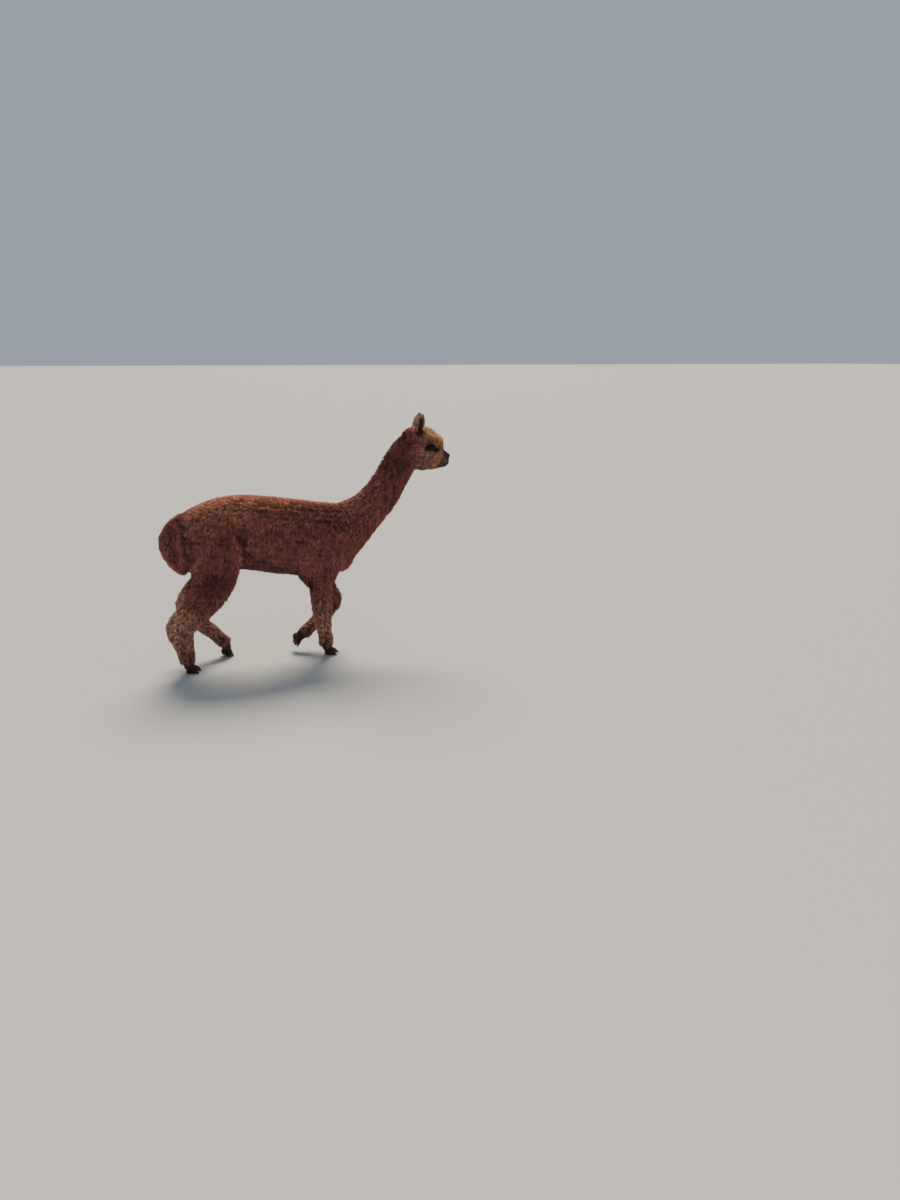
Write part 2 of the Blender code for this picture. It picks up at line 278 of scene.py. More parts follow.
def addLights():
    world = bpy.data.worlds.new("studio")
    world.use_nodes = True
    background = world.node_tree.nodes["Background"]
    background.inputs["Color"].default_value = (*hexColour(light["sky"]), 1)
    background.inputs["Strength"].default_value = light["skyStrength"]
    bpy.context.scene.world = world
    sun, fill = light["sun"], light["fill"]
    place = Vector(sun["from"]) * 6 + light["aim"]
    lamp = addLamp("backLight", "SUN", place, sun["colour"], sun["strength"])
    lamp.angle = math.radians(sun["spread"])
    lamp = addLamp("fillLight", "AREA", fill["place"], fill["colour"], fill["power"])
    lamp.size = fill["size"]


floor = {"half": camera["reach"], "below": 0.0005, "colour": "#b4b3ae"}


def addFloor():
    # matte painted studio floor: takes a soft shadow and no reflection
    finish, tree, shader = newMaterial("matte_studio_floor")
    shader.inputs["Base Color"].default_value = (*hexColour(floor["colour"]), 1)
    shader.inputs["Roughness"].default_value = 0.9
    bm = bmesh.new()
    bmesh.ops.create_grid(bm, x_segments=1, y_segments=1, size=floor["half"])
    thing = placeObject("studioFloor", bm, finish)
    thing.location.z = min(cadLow[2], 0.0) - floor["below"]


addCamera()
addLights()
addFloor()
report("camera, lights and floor")

# Markings, with the painted shade and painted highlights, as sRGB colours of the wool and skin.
tones = {
    "fleece": "#8b5650",
    "fleeceLitBack": "#c4876e",
    "fleeceShade": "#1f1011",
    "leg": "#8a5c4e",
    "curl": "#e0b397",
    "topknot": "#e0ad82",
    "face": "#aa8068",
    "muzzle": "#352a2b",
    "nose": "#151314",
    "eyePatch": "#0d0b0b",
    "earInside": "#3c2a25",
    "earRim": "#98766a",
    "foot": "#2c2120",
    "lid": "#0b0909",
}
tones = {name: hexColour(text) for name, text in tones.items()}


def footDistance(places, numbers):
    # distance from the middle of the foot of the leg that a place belongs to; far for the rest
    away = np.full(len(places), farAway)
    for leg in legs:
        own = onNodes(numbers, leg)
        away[own] = np.linalg.norm(places[own] - np.array(middle(f"foot_{leg}")), axis=1)
    return away


ears = {
    "at": [0.0, 0.35, 0.6, 0.8, 1.0],  # along the ear from its root
    "half": [0.016, 0.022, 0.021, 0.015, 0.004],  # half its breadth there
    "cup": 0.011,  # depth of the hollow
}


def earPlaces(places, word):
    # place along the ear, place across it in half breadths, height on its open side, open side
    side = 1 if word == "left" else -1
    low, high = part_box(f"ear_{word}")
    root = Vector(((low.x + high.x) / 2 - 0.010, (low.y + high.y) / 2 - side * 0.004, low.z))
    tip = Vector(((low.x + high.x) / 2 + 0.006, (low.y + high.y) / 2, high.z))
    along = (tip - root).normalized()
    facing = fromHead.to_3x3() @ Vector((0.40, side, 0.06))
    facing = (facing - along * facing.dot(along)).normalized()
    offset = places - np.array(root)
    t = offset @ np.array(along) / (tip - root).length
    half = np.interp(t, ears["at"], ears["half"])
    aside = np.abs(offset @ np.array(along.cross(facing))) / half
    return t, aside, offset @ np.array(facing), np.array(facing)


# Painted shade on the wool, seen along Y: centre, radii, share taken off.
shadedZones = [
    ((-0.455, 0, 0.690), (0.10, 1, 0.12), 0.26),  # hip
    ((-0.54, 0, 0.475), (0.15, 1, 0.125), 0.58),  # lower thigh
    ((0.47, 0, 1.020), (0.22, 1, 0.16), 0.40),  # upper neck
    ((-0.25, 0, 0.500), (0.22, 1, 0.07), 0.22),  # belly
]
# Light wool round each hock: radii, place from the lower leg's box, share.
hock = {"size": (0.130, 0.110, 0.125), "ahead": 0.075, "above": 0.030, "share": 0.66}
# Dark patches round each eye, in the head's frame: ahead, up, half length, half height.
eyePatches = [(-0.006, 0.001, 0.048, 0.035), (0.022, -0.011, 0.038, 0.024)]
# Painted shade in the hollow behind the fore leg, seen along Y.
armpit = [(-0.112, 0.466), (-0.075, 0.446), (-0.046, 0.405)]
# Folds and partings of the wool, seen along Y: side (1 left, -1 right), path, width, depth.
thighFold = [(-0.366, 0.52), (-0.364, 0.61), (-0.370, 0.675), (-0.392, 0.708)]
tailFold = [(-0.654, 0.760), (-0.661, 0.685), (-0.655, 0.608), (-0.648, 0.510)]
folds = [
    (-1, thighFold, 0.016, 0.13),
    (-1, [(x - 0.032, z - 0.01) for x, z in thighFold], 0.020, -0.07),
    (1, [(x + 0.03, z) for x, z in thighFold], 0.016, 0.13),
    (1, [(x - 0.002, z - 0.01) for x, z in thighFold], 0.020, -0.07),
    (-1, tailFold, 0.014, 0.26),
    (1, tailFold, 0.014, 0.26),
    (-1, [(-0.080, 0.815), (-0.03, 0.803), (0.020, 0.790)], 0.007, 0.10),
]
# The thigh's front edge, where a shadow line is painted, and the lower edge of the flank's long wool.
shadeLine = [(-0.378, 0.53), (-0.377, 0.616), (-0.381, 0.675), (-0.404, 0.706)]
fringe = [(-0.39, 0.627), (-0.316, 0.596), (-0.242, 0.560), (-0.185, 0.536), (-0.117, 0.530)]


def pathDistance(places, path):
    nearest = np.full(len(places), farAway)
    flat = places[:, [0, 2]]
    for start, end in zip(path, path[1:]):
        start, step = np.array(start), np.array(end) - np.array(start)
        along = np.clip((flat - start) @ step / (step @ step), 0, 1)
        nearest = np.minimum(nearest, np.linalg.norm(flat - start - along[:, None] * step, axis=1))
    return nearest


def woolHeight(places, numbers):
    # height of the fleece's surface, as a share of its depth: swells, crimp, folds and the
    # lower edge of the long wool
    isLeg = onNodes(numbers, "leg_")
    low = isLeg * (1 - ramp(places[:, 2], 0.28, 0.42))
    swell = 0.040 * waves(places, 0.11, 21) + 0.050 * waves(places, 0.048, 22)
    crimp = waves(places * (0.75, 1.0, 1.3), 0.021, 23) * 0.115
    height = 1.0 + swell + crimp * (1 + 0.3 * low) + 0.12 * low * waves(places, 0.030, 25)
    flank = ball(places * (1, 0, 1), (-0.27, 0, 0.64), (0.20, 1, 0.13))
    height += 0.09 * flank * waves(places * (0.45, 0.5, 1.5), 0.020, 26)
    base = ball(places * (1, 0, 1), (0.17, 0, 0.73), (0.13, 1, 0.17))
    across = places @ np.array((0.78, 0.0, 0.62)) + 0.006 * waves(places, 0.08, 27)
    height += 0.17 * base * np.sin(across * 2 * math.pi / 0.019)
    for side, path, width, depth in folds:
        near = bell(pathDistance(places, path), width)
        height -= depth * near * ramp(places[:, 1] * side, 0.02, 0.05)
    edge = np.interp(places[:, 0], [x for x, z in fringe], [z for x, z in fringe])
    below = ramp(edge - places[:, 2], -0.004, 0.006) * ramp(places[:, 0], -0.40, -0.37)
    below = below * (1 - ramp(places[:, 0], -0.13, -0.08)) * ~isLeg
    return height - 0.16 * below


def bodyColours(places):
    colours = np.tile(tones["fleece"], (len(places), 1))
    # painted highlight: the top of the back is painted lighter, where the light from behind and above
    # falls
    back = ramp(places[:, 2], 0.70, 0.90) * (1 - ramp(places[:, 0], 0.15, 0.40))
    colours = mixed(colours, tones["fleeceLitBack"], back)
    aside = places * (1, 0, 1)
    for centre, radii, share in shadedZones:
        colours = colours * (1 - share * ball(aside, centre, radii))[:, None]
    # painted shade and light: the thigh's front edge gets a painted shadow line with a painted
    # highlight behind it, the tail's edge a painted shadow line
    onSide = np.abs(places[:, 1]) > 0.04
    line = bell(pathDistance(places, shadeLine), 0.010) * onSide
    litLine = [(x - 0.019, z + 0.002) for x, z in shadeLine]
    line = 0.44 * line - 0.36 * bell(pathDistance(places, litLine), 0.007) * onSide
    groove = bell(pathDistance(places, tailFold), 0.008) * onSide
    return colours * (1 - line - 0.34 * groove)[:, None]


def legColours(colours, places, numbers):
    foot = footDistance(places, numbers)
    colours = mixed(colours, tones["leg"], (1 - ramp(foot, 0.20, 0.42)) * 0.75)
    patches = 0.5 + 0.5 * waves(places, 0.036, 14)
    band = ramp(foot, 0.03, 0.10 + 0.08 * ~onNodes(numbers, "_front_")) * (1 - ramp(foot, 0.18, 0.36))
    colours = mixed(colours, tones["curl"], band * patches * 0.55)
    curls = (1 - ramp(foot, 0.20, 0.42)) * waves(places, 0.018, 17)
    colours = colours * (1 + 0.25 * curls)[:, None]
    for leg in ("hind_left", "hind_right"):
        low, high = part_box(f"leg_{leg}_lower")
        ahead, above = low.x + hock["ahead"], high.z + hock["above"]
        light = ball(places, (ahead, middle(f"foot_{leg}").y, above), hock["size"])
        light = np.minimum(light * (0.75 + 0.25 * patches) * 1.6, 1.0)
        # painted rim light: the hock's light wool is painted lighter still towards its back edge
        behind = 0.80 + 0.20 * ramp(ahead - places[:, 0], -0.05, 0.03)
        colours = mixed(colours, tones["curl"], light * behind * hock["share"])
    # painted shade in the hollow behind the standing fore leg; the other one swings and shows none
    hollow = bell(pathDistance(places, armpit), 0.021)
    hollow = hollow * (np.abs(places[:, 1]) > 0.03) * ~onNodes(numbers, "front_left")
    colours = mixed(colours, tones["fleeceShade"], np.minimum(hollow * 1.3, 1.0) * 0.92)
    return mixed(colours, tones["foot"], (1 - ramp(foot, 0.028, 0.062)) * 0.88)


def headColours(colours, places):
    head = headPlaces(places)
    reach = head[:, 0] + 0.022 * waves(places, 0.045, 16)
    near = ramp(reach, -0.110, -0.005) * ramp(head[:, 2], -0.17, -0.09)
    colours = mixed(colours, tones["face"], near * 0.85)
    streaks = near * waves(places * (1.6, 1.0, 0.8), 0.014, 18)
    colours = colours * (1 + 0.22 * streaks)[:, None]
    # the topknot's lighter tan wool, its tone raised further as a painted highlight of the light from
    # behind
    crown = ramp(reach, -0.10, -0.03) * ramp(head[:, 2] + 0.50 * reach, 0.015, 0.060)
    colours = mixed(colours, tones["topknot"], crown)
    forelock = ball(head, (0.060, 0, 0.010), (0.035, 0.050, 0.045))
    colours = mixed(colours, tones["topknot"], np.minimum(forelock * 2.0, 1.0))
    edge = np.interp(head[:, 2], [-0.10, -0.07, -0.05, -0.008], [0.035, 0.052, 0.062, 0.068])
    dark = ramp(head[:, 0] - edge, -0.014, 0.012) * (1 - ramp(head[:, 2], -0.008, 0.010))
    dark = dark * (0.86 + 0.14 * waves(places, 0.016, 15))
    colours = mixed(colours, tones["muzzle"], dark)
    for side in (-1, 1):
        lip = ball(head, (0.078, side * 0.034, -0.074), (0.026, 0.024, 0.020))
        colours = mixed(colours, tones["face"], lip * 0.35)
    nose = ball(head, (0.102, 0, -0.053), (0.029, 0.036, 0.031))
    return mixed(colours, tones["nose"], np.minimum(nose * 2.0, 1.0))


def eyeAndEarColours(colours, places, numbers):
    head = headPlaces(places)
    for word, side in (("left", 1), ("right", -1)):
        for ahead, up, length, height in eyePatches:
            patch = ball(head, (ahead, side * 0.058, up), (length, 0.044, height))
            colours = mixed(colours, tones["eyePatch"], np.minimum(patch * 2.3, 1.0))
        onEar = onNodes(numbers, f"ear_{word}")
        t, aside, height, facing = earPlaces(places, word)
        inside = onEar * ramp(height, 0.0, 0.008) * (1 - ramp(aside, 0.50, 0.85))
        colours = mixed(colours, tones["fleece"], onEar * (1 - ramp(t, 0.1, 0.4)) * 0.8)
        # painted glow: the ear is painted lighter towards its tip, standing in for the light from
        # behind
        colours = mixed(colours, tones["earRim"], onEar * ramp(t, 0.3, 0.9) * 0.7)
        colours = mixed(colours, tones["earInside"], inside * (1 - ramp(t, 0.70, 0.95)))
    return colours


def coatColours(places, numbers):
    # colour of the coat at a place on its outer surface
    colours = legColours(bodyColours(places), places, numbers)
    colours = eyeAndEarColours(headColours(colours, places), places, numbers)
    return colours * (1 + 0.10 * waves(places, 0.09, 11) + 0.07 * waves(places, 0.030, 12))[:, None]


# The skin: every node of flesh fused without a seam and set in by the coat's depth.
skin = {
    "voxel": 0.0026,
    "overlap": 0.0006,  # grows each solid a little, so that the thin cuts between them close
    "rounds": 4,  # of smoothing
    "bodyTriangles": 52000,
    "share": 0.27,  # of the flesh's thickness, that the coat takes at most
    "lid": 0.0014,  # thickness of the eyelids
    "opening": (0.86, 0.56),  # half length and half height of the eye's opening, in eye radii
    "underWool": 0.45,  # painted shade: share taken off its colour where long wool covers it
}
# Distances from the foot's middle and the coat's depth there, then the depth on the head.
legCoat = ([0.025, 0.045, 0.07, 0.12, 0.26, 0.40], [0.0030, 0.0065, 0.011, 0.014, 0.019, 0.025])
coatDepth = {"nape": 0.021, "cheek": 0.010, "topknot": 0.022, "fringe": 0.018, "muzzle": 0.0010,
             "ear": 0.0010, "eye": 0.0012}


def fineRegion(places):
    # the head and the feet keep the fine mesh
    head = headPlaces(places)
    fine = (head[:, 0] > -0.135) & (head[:, 2] > -0.15) & (np.abs(head[:, 1]) < 0.12)
    for leg in legs:
        low, high = (np.array(corner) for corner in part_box(f"foot_{leg}"))
        fine |= ((places > low - 0.006) & (places < high + 0.006)).all(1)
    return fine


def fusedFlesh(finish):
    bm = bmesh.new()
    for node in [*fleshNodes, "eye_left", "eye_right"]:
        part = bmesh.new()
        part.from_mesh(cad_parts[node].data)
        bmesh.ops.remove_doubles(part, verts=part.verts, dist=0.00002)
        if node.startswith("ear"):
            hull = bmesh.ops.convex_hull(part, input=part.verts)
            bmesh.ops.delete(part, geom=hull["geom_interior"], context="VERTS")
            bmesh.ops.delete(
                part, geom=[f for f in part.faces if f not in set(hull["geom"])], context="FACES"
            )
            bmesh.ops.recalc_face_normals(part, faces=part.faces)
        part.normal_update()
        for v in part.verts:
            v.co += v.normal * (skin["overlap"] * v.calc_shell_factor())
        mesh = bpy.data.meshes.new("part")
        part.to_mesh(mesh)
        part.free()
        bm.from_mesh(mesh)
        bpy.data.meshes.remove(mesh)
    thing = placeObject("skin", bm, finish)
    fuse = thing.modifiers.new("fuse", "REMESH")
    fuse.mode = "VOXEL"
    fuse.voxel_size = skin["voxel"]
    soften = thing.modifiers.new("soften", "SMOOTH")
    soften.factor = 0.5
    soften.iterations = skin["rounds"]
    applyModifiers(thing)
    thinBody(thing)
    return thing


def thinBody(thing):
    # collapses the mesh of the body under the long fleece, and leaves the head and feet fine
    places = vertexPlaces(thing.data)
    fine = fineRegion(places)
    body = thing.vertex_groups.new(name="body")
    body.add([int(i) for i in np.flatnonzero(~fine)], 1.0, "REPLACE")
    corners = column(thing.data.loops, "vertex_index", 1, np.int32)
    fineTriangles = int(fine[corners].sum() / 2)  # each quad has four corners and two triangles
    total = len(corners) // 2
    thin = thing.modifiers.new("thin", "DECIMATE")
    thin.ratio = (fineTriangles + skin["bodyTriangles"]) / total
    thin.vertex_group = "body"
    applyModifiers(thing)
    thing.vertex_groups.clear()


def keepLargest(bm):
    # drops loose bubbles that the remesh may leave inside
    left, best = set(bm.verts), []
    while left:
        island, stack = [], [left.pop()]
        while stack:
            v = stack.pop()
            island.append(v)
            near = {e.other_vert(v) for e in v.link_edges} & left
            left -= near
            stack += near
        best = max(best, island, key=len)
    keep = set(best)
    bmesh.ops.delete(bm, geom=[v for v in bm.verts if v not in keep], context="VERTS")


def isFace(places):
    head = headPlaces(places)
    side = np.abs(head[:, 1])
    snout = (head[:, 0] > 0.030) & (head[:, 2] < -0.012) & (head[:, 2] > -0.125)
    eye = (np.abs(head[:, 0]) < 0.026) & (np.abs(head[:, 2]) < 0.022) & (side > 0.03)
    return (snout & (side < 0.08)) | eye


def refine(thing):
    # subdivides the faces of the muzzle and round the eyes
    bm = bmesh.new()
    bm.from_mesh(thing.data)
    keepLargest(bm)
    faces = list(bm.faces)
    chosen = isFace(np.array([f.calc_center_median() for f in faces]))
    edges = {e for f, take in zip(faces, chosen) if take for e in f.edges}
    bmesh.ops.subdivide_edges(bm, edges=list(edges), cuts=1, use_grid_fill=True)
    bmesh.ops.triangulate(bm, faces=bm.faces)
    bm.to_mesh(thing.data)
    bm.free()


def nearestNodes(places):
    # number of the CAD node whose surface lies nearest to each place
    corners, triangles, owner = [], [], []
    for number, node in enumerate(fleshNodes):
        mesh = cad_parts[node].data
        first = len(corners)
        corners += [v.co.copy() for v in mesh.vertices]
        triangles += [[first + i for i in p.vertices] for p in mesh.polygons]
        owner += [number] * len(mesh.polygons)
    tree = BVHTree.FromPolygons(corners, triangles)
    return np.array([owner[tree.find_nearest(Vector(p))[2]] for p in places])


def averaged(values, edges, rounds):
    # each vertex takes the mean of itself and its neighbours, over and over
    columns = values.reshape(len(values), -1).copy()
    count = np.bincount(edges.ravel(), minlength=len(values)) + 1.0
    for turn in range(rounds):
        for axis in range(columns.shape[1]):
            old = columns[:, axis]
            total = old + np.bincount(edges[:, 0], old[edges[:, 1]], len(old))
            total += np.bincount(edges[:, 1], old[edges[:, 0]], len(old))
            columns[:, axis] = total / count
    return columns.reshape(values.shape)


def fleshThickness(mesh, places, normals):
    # distance straight through the flesh below each vertex
    tree = BVHTree.FromPolygons(
        [Vector(p) for p in places], [list(p.vertices) for p in mesh.polygons]
    )
    found = np.full(len(places), 0.2)
    for i, (p, n) in enumerate(zip(places, normals)):
        hit = tree.ray_cast(Vector(p - n * 0.0005), Vector(-n))
        if hit[0] is not None:
            found[i] = hit[3]
    return found


def wantedDepth(places, numbers):
    head = headPlaces(places)
    depth = np.interp(footDistance(places, numbers), *legCoat)
    isHead = onNodes(numbers, "head")
    depth[isHead] = coatDepth["nape"]
    depth[isHead & (head[:, 0] > -0.065)] = coatDepth["cheek"]
    depth[isHead & (head[:, 2] > 0.028)] = coatDepth["topknot"]
    depth[isHead & (head[:, 0] > 0.045) & (head[:, 2] > -0.004)] = coatDepth["fringe"]
    bare = ramp(head[:, 0], 0.012, 0.062) * ramp(-head[:, 2], 0.004, 0.022) * isHead
    depth = depth * (1 - bare) + coatDepth["muzzle"] * bare
    for word in eyes:
        away = np.linalg.norm(places - np.array(eyes[word]), axis=1)
        share = ramp(away, 0.022, 0.062)
        depth = np.where(isHead, coatDepth["eye"] * (1 - share) + depth * share, depth)
    depth[onNodes(numbers, "ear_")] = coatDepth["ear"]
    return depth


def shapeEars(places, normals, numbers):
    # hollows each ear's open side into a cup with a rim
    for word in eyes:
        t, aside, height, facing = earPlaces(places, word)
        share = ramp(normals @ facing, -0.10, 0.35) * (1 - ramp(aside, 0.30, 0.95))
        share = share * ramp(t, 0.15, 0.40) * (1 - ramp(t, 0.75, 0.97))
        share = share * onNodes(numbers, f"ear_{word}")
        places = places - facing * (share * ears["cup"])[:, None]
    return places


def eyeAxes(word):
    # outward, forward and upward axes of an eye, and its centre
    side = 1 if word == "left" else -1
    turn = fromHead.to_3x3()
    outward = (turn @ Vector((0.28, side * 0.95, 0.08))).normalized()
    forward = turn @ Vector((0.95, side * -0.28, -0.10))
    forward = (forward - outward * forward.dot(outward)).normalized()
    upward = forward.cross(outward)
    if upward.z < 0:
        upward = -upward
    return [np.array(v) for v in (outward, forward, upward, eyes[word])]


def lidLine(ahead):
    # height of the opened eye's almond at that place along it, both in eye radii
    halfLength, halfHeight = skin["opening"]
    return halfHeight * (1 - np.clip(np.abs(ahead) / halfLength, 0, 1) ** 2.2)


def lidGap(places, word):
    # distance outside the edge of the opening, below zero inside it, and the direction outwards
    outward, forward, upward, centre = eyeAxes(word)
    offset = places - centre
    distance = np.linalg.norm(offset, axis=1)
    direction = offset / distance[:, None]
    ahead, up, out = direction @ forward, direction @ upward, direction @ outward
    past = np.maximum(np.abs(ahead) - skin["opening"][0], 0)
    line = lidLine(ahead)
    gap = np.hypot(np.maximum(np.abs(up) - line, 0), past)
    gap = (gap - np.maximum(line - np.abs(up), 0) * (past == 0)) * eyeRadius
    near = (distance < eyeRadius * 2.2) & (out > 0.10)
    return np.where(near, gap, farAway), direction, distance, up


# Folds of the lids: place from the opening's edge, width, and how deep or high they are.
lids = {
    "crease": (0.0052, 0.0024),
    "creaseDepth": (0.0007, 0.0002),  # above and below the eye
    "rim": (0.0012, 0.0012, 0.0003),
    "behind": 0.007,  # how far behind the lids the skin goes within the opening
}


def shapeLids(places):
    # draws the skin over each eyeball and opens it in an almond
    for word in eyes:
        gap, direction, distance, up = lidGap(places, word)
        crease = bell(gap - lids["crease"][0], lids["crease"][1])
        crease = crease * np.where(up > 0, *lids["creaseDepth"])
        rim = lids["rim"][2] * bell(gap - lids["rim"][0], lids["rim"][1])
        opened = lids["behind"] * ramp(-gap, -0.0002, 0.0011)
        wanted = eyeRadius + skin["lid"] - crease + rim - opened
        inward = 1 - ramp(gap, 0.0050, 0.0140)
        outward = 1 - ramp(gap, 0.0060, 0.0200)
        share = np.where(wanted < distance, inward, outward)
        places = places + direction * ((wanted - distance) * share)[:, None]
    return places


# The muzzle's forms, in the head's frame: width and depth of each, and where it lies.
muzzle = {
    "mouth": ([0.030, 0.060, 0.088, 0.104], [-0.098, -0.093, -0.086, -0.082]),
    "groove": (0.0022, 0.0036),
    "lips": (0.0045, 0.0012),
    "lipsFrom": 0.0065,  # from the mouth's line
    "cleft": (0.0020, 0.0024),
    "nostril": ((0.1035, 0.0060, -0.0570), (0.0950, 0.0165, -0.0430)),
    "slit": (0.0030, 0.0060),
    "wing": (0.0022, 0.0013),
    "wingFrom": 0.0064,  # from the slit's line
}


def mouthHeight(x):
    return np.interp(x, *muzzle["mouth"])


def furrow(distance, form):
    width, depth = muzzle[form]
    return bell(distance, width) * depth


def shapeMuzzle(places, normals):
    head = headPlaces(places)
    x, y, z = head.T
    mouth = mouthHeight(x)
    front = ramp(x, 0.026, 0.045)
    inward = furrow(z - mouth, "groove") * front
    inward = inward - furrow(np.abs(z - mouth) - muzzle["lipsFrom"], "lips") * front
    cleft = furrow(y, "cleft") * ramp(x, 0.085, 0.095)
    inward = inward + cleft * (z > mouth) * (1 - ramp(z, -0.056, -0.046))
    for side in (-1, 1):
        # each nostril is a slit that rises outwards
        start, end = (np.array(point) * (1, side, 1) for point in muzzle["nostril"])
        along = np.clip((head - start) @ (end - start) / ((end - start) @ (end - start)), 0, 1)
        apart = np.linalg.norm(head - start - along[:, None] * (end - start), axis=1)
        inward = inward + furrow(apart, "slit") - furrow(apart - muzzle["wingFrom"], "wing")
    share = ramp(x, 0.020, 0.032) * ramp(-z, 0.005, 0.015)
    return places - normals * (inward * share)[:, None]


def skinFinish():
    # skin under fleece, and the face's short flat hair: dull, soft-edged and finely streaked
    finish, tree, shader = newMaterial("short_haired_skin")
    streaks = noise(tree, 1.4, 3.0)
    both = addNode(tree, "ShaderNodeMath", {"operation": "MULTIPLY"},
                   {0: streaks, 1: noise(tree, 11, 2.0)})
    spread = addNode(tree, "ShaderNodeMapRange", {"From Min": 0.12, "From Max": 0.38,
                     "To Min": 0.72, "To Max": 1.25}, {"Value": both.outputs[0]})
    shade = addNode(tree, "ShaderNodeVectorMath", {"operation": "SCALE"},
                    {"Vector": coatTone(tree), "Scale": spread.outputs["Result"]})
    tree.links.new(shade.outputs["Vector"], shader.inputs["Base Color"])
    bump = addNode(tree, "ShaderNodeBump", {"Strength": 0.5, "Distance": 0.0008},
                   {"Height": streaks})
    tree.links.new(bump.outputs["Normal"], shader.inputs["Normal"])
    shader.inputs["Roughness"].default_value = 0.68
    shader.inputs["Specular IOR Level"].default_value = 0.30
    return finish


def buildSkin():
    thing = fusedFlesh(skinFinish())
    refine(thing)
    mesh = thing.data
    edges = column(mesh.edges, "vertices", 2, np.int32).reshape(-1, 2)
    places, normals = vertexPlaces(mesh), vertexNormals(mesh)
    numbers = nearestNodes(places)
    thick = fleshThickness(mesh, places, unit(averaged(normals, edges, 4)))
    most = averaged(thick, edges, 6) * skin["share"]
    depth = averaged(np.minimum(wantedDepth(places, numbers), most), edges, 30)
    depth = np.minimum(depth, most)
    normals = unit(averaged(normals, edges, 8))
    outer = places.copy()
    places = places - normals * depth[:, None]
    head = headPlaces(places)
    crown = ramp(head[:, 2] - head[:, 0], -0.055, -0.035)[:, None]  # all but the muzzle
    noEars = (numbers < fleshNodes.index("ear_left"))[:, None]
    crown = crown * fineRegion(places)[:, None] * noEars
    places = averaged(places, edges, 2)
    places = places * (1 - crown) + averaged(places, edges, 14) * crown
    moveVertices(mesh, places)
    places = shapeEars(places, vertexNormals(mesh), numbers)
    moveVertices(mesh, places)
    places = shapeMuzzle(places, unit(averaged(vertexNormals(mesh), edges, 3)))
    places = shapeLids(places)
    moveVertices(mesh, places)
    shadeSmooth(mesh)
    # painted shade on the skin under the long wool
    covered = ramp(depth, 0.002, 0.008)[:, None]
    paint(mesh, coatColours(outer, numbers) * (1 - skin["underWool"] * covered))
    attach(thing, "root")
    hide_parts(*fleshNodes)
    print("skin triangles:", len(mesh.polygons))
    return thing, {"places": places, "outer": outer, "depth": depth, "numbers": numbers,
                   "normals": vertexNormals(mesh), "edges": edges}


skinPiece, coatBase = buildSkin()
report("skin")


# The coat: tufts rooted in the skin, each a thin bent spindle with a root, a waist and a tip.
coat = {
    "seed": 5,
    "sunk": 0.0015,  # root below the skin at most
    "waist": (0.74, 1.06, 0.62),  # share of the length, then more or less of height and reach
    "least": 0.0022,  # shortest hair
    "earExtra": 0.0008,  # added to that on the ears
    "fetlock": 0.6,  # share added to the length above the foot
    "overClaws": 0.0055,  # added near the claws
    "aboveFloor": 0.0003,  # lowest place of any hair
    "faceDepth": 0.0065,  # a shallower coat on the head is the face's hair
    "turn": 20,  # degrees that a lock may turn from the lie
    "patch": 0.003,  # of the whole unwrap, that a lock takes
    "relief": 2.8,  # painted light and shade: how much lighter the wool is painted where it swells, and darker where it dips
    "depths": [0.001, 0.003, 0.006, 0.012, 0.025],  # at these depths of the coat
    "leans": [1.6, 1.5, 1.2, 0.85, 0.60],  # the tip lies this share of the length along the skin
    "rise": [0.40, 0.75, 0.95, 1.0, 1.0],  # and stands this share above it
    "waists": [0.24, 0.36, 0.48, 0.54, 0.60],  # half the lock's thickness, in spacings
    "shades": (  # of root, waist and tip, in long wool and in flat hair; the darker roots are painted shade between the locks
        np.array([0.66, 0.92, 0.92, 0.92, 1.18]),
        np.array([0.94, 1.0, 1.0, 1.0, 1.04]),
    ),
    "bleachAndLight": np.array([1.10, 1.06, 0.95]),  # warms the sun-bleached tips and the painted highlights on the swells, and cools the painted shade at the roots and in the dips
}
lockPatch = np.array([(0, -1), (-1, 0.1), (0, 0.3), (1, 0.1), (0, 1)])
rear, fore, whole = (-farAway, -0.30), (-0.30, farAway), (-farAway, farAway)  # ranges in X
# Each piece of the coat: word in its nodes' names, side kept (1 left, -1 right, 0 both), range,
# spacing of the locks.
coatPieces = {
    "fleeceRumpLeft": ("trunk", 1, rear, 0.0030),
    "fleeceRumpRight": ("trunk", -1, rear, 0.0030),
    "fleeceShoulderLeft": ("trunk", 1, fore, 0.0030),
    "fleeceShoulderRight": ("trunk", -1, fore, 0.0030),
    "fleeceNeckLeft": ("neck", 1, whole, 0.0029),
    "fleeceNeckRight": ("neck", -1, whole, 0.0029),
    "fleeceTail": ("tail", 0, whole, 0.0029),
    "fleeceHindLeft": ("hind_left", 0, whole, 0.0030),
    "fleeceHindRight": ("hind_right", 0, whole, 0.0030),
    "fleeceFrontLeft": ("front_left", 0, whole, 0.0030),
    "fleeceFrontRight": ("front_right", 0, whole, 0.0030),
    "crownFleece": ("head", 0, whole, 0.0023),
    "faceHair": ("head", 0, whole, 0.0016),
    "earHair": ("ear_", 0, whole, 0.0018),
}


